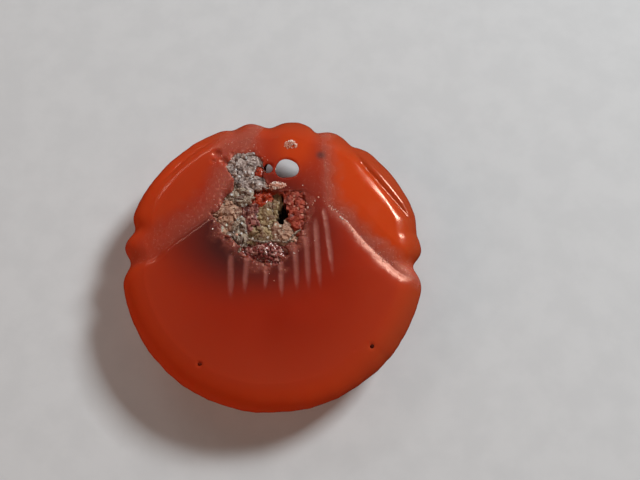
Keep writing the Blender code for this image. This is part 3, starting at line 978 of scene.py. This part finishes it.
def carnelian():
    """Polished translucent stone, painted by the masks that the stone's mesh carries."""
    inside = glow((1.0, 0.16, 0.05), 1.0, 0.35)
    polish = {"IOR": 1.54, "Specular_IOR_Level": 0.38, "Specular_Tint": (1.0, 0.58, 0.42, 1)}
    stone = Finish("carnelian", 0.15, **polish, **inside)
    names = "frost purple warm score pocket rim dull clear stain"
    frost, purple, warm, score, pocket, rim, dull, clear, stain = map(stone.mask, names.split())
    clouds = stone.noise(7.0, 2.0, 0.4, distortion=0.4)
    fine = stone.noise(0.30, 4.0, 0.65)
    brushed = stone.noise(0.12, 4.0, 0.6, stretch=(1.0, 0.25, 1.0))
    stone.paint((0.375, 0.027, 0.010))
    stone.paint((0.335, 0.022, 0.008), stone.levels(clouds, 0.40, 0.64))
    # Painted glow: brighter orange towards the outside, as light comes through the thinner stone.
    stone.paint((0.45, 0.046, 0.016), clear, 0.9)
    # Painted glow: the thin rim is brighter orange, as if lit by light coming through it.
    stone.paint((0.68, 0.060, 0.012), rim, 0.9)
    # Painted glow: brighter orange where light comes through from the right.
    stone.paint((0.60, 0.060, 0.011), warm)
    # Painted shade: a darker, browner rim on the side that the key light falls on.
    stone.paint((0.32, 0.050, 0.018), dull, 0.8)
    stone.paint((0.075, 0.019, 0.017), purple)
    # Ground stone is paler. Along the right valley's crest these colours also paint a sheen.
    stone.paint((0.34, 0.080, 0.055), frost, 0.75)
    # Ground stone within the painted glow from the right is paler orange.
    stone.paint((0.54, 0.12, 0.068), frost, warm, 0.8)
    stone.paint((0.60, 0.20, 0.14), frost, stone.levels(fine, 0.54, 0.76))
    stone.paint((0.64, 0.23, 0.15), frost, stone.levels(brushed, 0.58, 0.80))
    stone.paint((0.40, 0.125, 0.10), score, 0.75)
    stone.paint((0.20, 0.045, 0.030), pocket, 0.9)
    stone.paint((0.12, 0.040, 0.036), stain, 0.85)
    # Pale specks on the ground stone: painted glints of tiny crystals.
    stone.paint((0.80, 0.58, 0.48), frost, stone.specks(0.10, 0.10, 0.20))
    wear = stone.levels(stone.noise(1.5, 5.0), 0.45, 0.75)
    stone.rough(0.14, (0.24, wear), (0.46, frost), (0.50, score), (0.65, pocket))
    ground = stone.maths("ADD", stone.maths("ADD", frost, score), pocket)
    stone.bump(stone.noise(0.12, 4.0, 0.7), 0.025, ground)
    stone.bump(stone.noise(0.9, 4.0, 0.5), 0.003, 0.5)
    return stone.done()


def mineral(name, colours, grain, roughness, depth, speck, settings=None):
    """A grainy mineral of dark, middle and light colours, with painted shade that darkens its hollows.
    """
    dark, middle, light = colours
    rock = Finish(name, roughness, **(settings or {}))
    patches = rock.noise(grain * 3, 4.0, 0.6, distortion=0.5)
    fine = rock.noise(grain, 5.0, 0.7)
    rock.paint(middle)
    rock.paint(dark, rock.levels(patches, 0.52, 0.36))
    rock.paint(light, rock.levels(fine, 0.50, 0.66))
    rock.paint(dark, rock.levels(rock.grains(grain * 1.6)[0], 0.5, 0.85), 0.7)
    # Painted shade in the hollows.
    rock.paint(tuple(0.4 * value for value in dark), rock.mask("hollow_shade"), 0.4)
    if speck:
        rock.paint(speck, rock.specks(grain * 1.3, 0.20))
    rock.rough(roughness, (min(1.0, roughness + 0.25), rock.levels(patches, 0.4, 0.6)))
    rock.bump(fine, depth)
    rock.bump(rock.grains(grain * 1.6)[0], depth * 0.7)
    return rock.done()


def quartz(name, dark, middle):
    """Clear and milky quartz over a darker colour."""
    glass = Finish(name, 0.08, IOR=1.55)
    glass.paint(dark)
    glass.paint(middle, glass.levels(glass.noise(0.45, 4.0), 0.48, 0.60))
    glass.paint((0.85, 0.78, 0.72), glass.levels(glass.noise(0.30, 3.0), 0.60, 0.68))
    # Painted shade in the hollows.
    glass.paint((0.14, 0.025, 0.022), glass.mask("hollow_shade"), 0.8)
    glass.rough(0.06, (0.25, glass.levels(glass.noise(0.2, 3.0), 0.5, 0.7)))
    glass.bump(glass.noise(0.15, 3.0), 0.006)
    return glass.done()


def floor_paper():
    paper = Finish("floor_paper", 0.85)
    paper.paint((0.68, 0.70, 0.715))
    paper.paint((0.65, 0.67, 0.685), paper.levels(paper.noise(3.0, 5.0), 0.35, 0.65))
    paper.bump(paper.noise(0.5, 4.0), 0.01, 0.3)
    return paper.done()


# Each mineral's dark, middle and light colours, size of grain in millimetres, roughness, depth of
# relief in millimetres, colour of specks, and other shader settings.
MINERALS = {
    "grey_sinter": ([(0.15, 0.105, 0.095), (0.42, 0.32, 0.285), (0.69, 0.59, 0.52)],
                    0.22, 0.75, 0.05, (0.70, 0.70, 0.69)),
    "beige_sinter": ([(0.16, 0.09, 0.07), (0.375, 0.28, 0.21), (0.55, 0.54, 0.44)],
                     0.24, 0.75, 0.05, (0.55, 0.55, 0.55)),
    "red_chalcedony": ([(0.26, 0.025, 0.010), (0.48, 0.052, 0.018), (0.60, 0.12, 0.05)],
                       0.35, 0.18, 0.01, None, {"IOR": 1.54, **glow((1.0, 0.2, 0.08), 0.8, 0.5)}),
    "tan_matrix": ([(0.21, 0.09, 0.058), (0.44, 0.24, 0.16), (0.60, 0.44, 0.32)],
                   0.26, 0.65, 0.04, (0.60, 0.60, 0.50)),
    "green_matrix": ([(0.165, 0.075, 0.042), (0.33, 0.22, 0.11), (0.50, 0.41, 0.265)],
                     0.24, 0.65, 0.04, (0.56, 0.50, 0.43)),
    "jasper": ([(0.097, 0.022, 0.019), (0.24, 0.056, 0.044), (0.41, 0.175, 0.127)],
               0.30, 0.40, 0.03, (0.55, 0.35, 0.27)),
    "pit_iron": ([(0.05, 0.006, 0.002), (0.13, 0.010, 0.003), (0.18, 0.025, 0.010)],
                 0.30, 0.90, 0.03, None, {"Specular_IOR_Level": 0.1}),
    "rust": ([(0.153, 0.018, 0.009), (0.35, 0.041, 0.018), (0.46, 0.106, 0.053)],
             0.28, 0.50, 0.04, (0.52, 0.22, 0.15)),
    # Near-black painted shade for the pocket's deep cleft.
    "manganese": ([(0.006, 0.005, 0.004), (0.018, 0.014, 0.011), (0.06, 0.045, 0.03)],
                  0.20, 0.55, 0.03, None),
}


def make_materials():
    materials = {name: mineral(name, *look) for name, look in MINERALS.items()}
    materials["carnelian"] = carnelian()
    materials["drusy_quartz"] = quartz("drusy_quartz", (0.24, 0.055, 0.048), (0.50, 0.25, 0.21))
    materials["clear_quartz"] = quartz("clear_quartz", (0.72, 0.36, 0.26), (0.86, 0.72, 0.64))
    return materials


# ---- pieces in and beside the pocket


def pocket_lip(material):
    """A row of small chunks under one skin, along the pocket's lower edge."""
    line = curve_through(LIP_PATH, LIP_SAMPLES)
    draw = np.random.default_rng(8)
    heights = dome_height(np.linalg.norm(line, axis=1)) + 0.02 * noise(line, 0.5, 61, 2)
    parts = []
    for spot, height in zip(line, heights):
        middle = np.array((*spot, height - 0.04)) + draw.normal(0, 0.03, 3)
        halves = LIP_RADIUS * draw.uniform(0.8, 1.5, 3)
        parts.append(chunk(middle, halves, draw.integers(9999), divisions=2))
    add_piece(crust("pocket_lip", parts, 0.15, 71), material, "beige_sinter")


def sparkles(material):
    """Loose bright crystals: the single ones, those along the foot of the right wing, and those
    round the pocket."""
    draw = np.random.default_rng(12)
    foot = curve_through(WING_FOOT)
    spots = [(spot, draw.uniform(0.07, 0.12)) for spot in SPARKLES]
    for _ in range(WING_FOOT_CRYSTALS):
        spot = foot[draw.integers(len(foot))] + draw.normal(0, 0.10, 2)
        spots.append((spot, draw.uniform(0.02, 0.05)))
    for _ in range(POCKET_EDGE_CRYSTALS):
        _, out = draw.uniform(0, 2 * math.pi), draw.uniform(1.02, 1.30)
        outline = np.array(POCKET_OUTLINE[draw.integers(len(POCKET_OUTLINE))])
        spot = np.array(POCKET_MIDDLE) + (outline - POCKET_MIDDLE) * out + draw.normal(0, 0.25, 2)
        spots.append((spot, draw.uniform(0.02, 0.05)))
    parts = []
    places = np.array([spot for spot, _ in spots])
    heights = skin_height(places, np.linalg.norm(places, axis=1))
    for (spot, radius), height in zip(spots, heights):
        axis = Vector((draw.normal(0, 0.6), draw.normal(0, 0.6), 1.0)).normalized()
        base = np.array((*spot, height)) - np.array(axis) * radius * 1.6
        parts.append(crystal(base, axis, radius, radius * 2.8, draw.uniform(0, 1)))
    obj = object_from("loose_crystals", *joined(parts))
    add_piece(obj, material, "drusy_quartz")
    obj.data.shade_flat()


def filling(materials):
    """The pocket's filling, as one broken surface cut into its minerals."""
    grid, owners, used = filling_grid()
    soften_cracks(grid, owners)
    for number, fill in enumerate(FILLING):
        obj = patch("fine_" + fill.node, grid, used & (owners == number))
        add_piece(obj, materials[fill.material], fill.material, fill.node)
        obj.data.set_sharp_from_angle(angle=math.radians(60))


def druses(materials):
    """The beds of crystals. Each replaces its CAD node, unless a piece of the filling does."""
    filled = {fill.node for fill in FILLING}
    for number, (node, (count, size, lift, material)) in enumerate(DRUSES.items()):
        obj = druse("crystals_" + node, node, count, size, 300 + number, lift)
        add_piece(obj, materials[material], "drusy_quartz", *({node} - filled))
        obj.data.shade_flat()


def pit_grains(material):
    for number, node in enumerate(("pit_grain_left", "pit_grain_right")):
        middle, halves = node_shape(node)
        parts = [chunk(middle, halves * 0.95, 90 + number, divisions=3)]
        add_piece(crust("fine_" + node, parts, 0.14, 95 + number), material, "manganese", node)


# ---- floor, light and camera, in metres

FLOOR_HALF = 0.4
LIGHT_DISTANCE = 0.45


def floor(material):
    """A pale square under the button, which the stone's polish doesn't mirror."""
    square = [(x * FLOOR_HALF, y * FLOOR_HALF, 0) for x, y in ((-1, -1), (1, -1), (1, 1), (-1, 1))]
    obj = object_from("floor", square, [(0, 1, 2, 3)])
    obj.data.materials.append(material)
    obj.visible_glossy = False


def softbox(name, azimuth, elevation, size, power, colour=(1, 1, 1), shine=True):
    """A rectangular light aimed at the button. Azimuth is from +X towards +Y, in degrees. Without
    shine it lights the scene but isn't seen in the polish, as with a polarising filter."""
    light = bpy.data.lights.new(name, "AREA")
    light.shape, light.size, light.size_y = "RECTANGLE", *size
    light.energy, light.color = power, colour
    obj = link(light, name)
    turn, rise = math.radians(azimuth), math.radians(elevation)
    way = Vector((math.cos(rise) * math.cos(turn), math.cos(rise) * math.sin(turn), math.sin(rise)))
    obj.location = way * LIGHT_DISTANCE + Vector((0, 0, 0.003))
    obj.rotation_euler = way.to_track_quat("Z", "Y").to_euler()
    obj.visible_glossy = shine


def light_and_camera():
    """Soft boxes round the button, a world that only the camera sees, and a camera 17 degrees off
    the vertical."""
    world = bpy.data.worlds.new("studio")
    world.use_nodes = True
    background = world.node_tree.nodes["Background"]
    background.inputs["Color"].default_value = (0.80, 0.78, 0.76, 1)
    background.inputs["Strength"].default_value = 0.65
    world.cycles_visibility.diffuse = world.cycles_visibility.glossy = False
    bpy.context.scene.world = world
    warm = (1.0, 0.62, 0.46)
    softbox("key", 43, 34, (0.13, 0.09), 1.95, (0.95, 0.99, 1.0))
    softbox("left_strip", 120, 33, (0.24, 0.02), 0.14)
    softbox("fill_left", 200, 25, (0.4, 0.2), 0.42, warm, shine=False)
    softbox("fill_front", 285, 25, (0.4, 0.2), 0.16, warm, shine=False)
    softbox("fill_back", 95, 14, (0.4, 0.1), 0.25, shine=False)
    softbox("fill_top", 270, 72, (0.2, 0.2), 0.22, (1.0, 0.80, 0.70), shine=False)
    bpy.context.scene.view_settings.view_transform = "Standard"
    camera = bpy.data.cameras.new("camera")
    camera.sensor_width, camera.lens = 36, 42
    camera.clip_start, camera.clip_end = 0.001, 10
    obj = link(camera, "camera")
    obj.location = (0.00393, -0.01691, 0.06384)
    obj.rotation_euler = (math.radians(17), 0, 0)
    bpy.context.scene.camera = obj


def main():
    for obj in list(bpy.data.objects):
        bpy.data.objects.remove(obj)
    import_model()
    materials = make_materials()
    stone(materials["carnelian"])
    filling(materials)
    druses(materials)
    pit_grains(materials["pit_iron"])
    pocket_lip(materials["beige_sinter"])
    sparkles(materials["clear_quartz"])
    floor(floor_paper())
    light_and_camera()
    bpy.context.view_layer.update()


main()
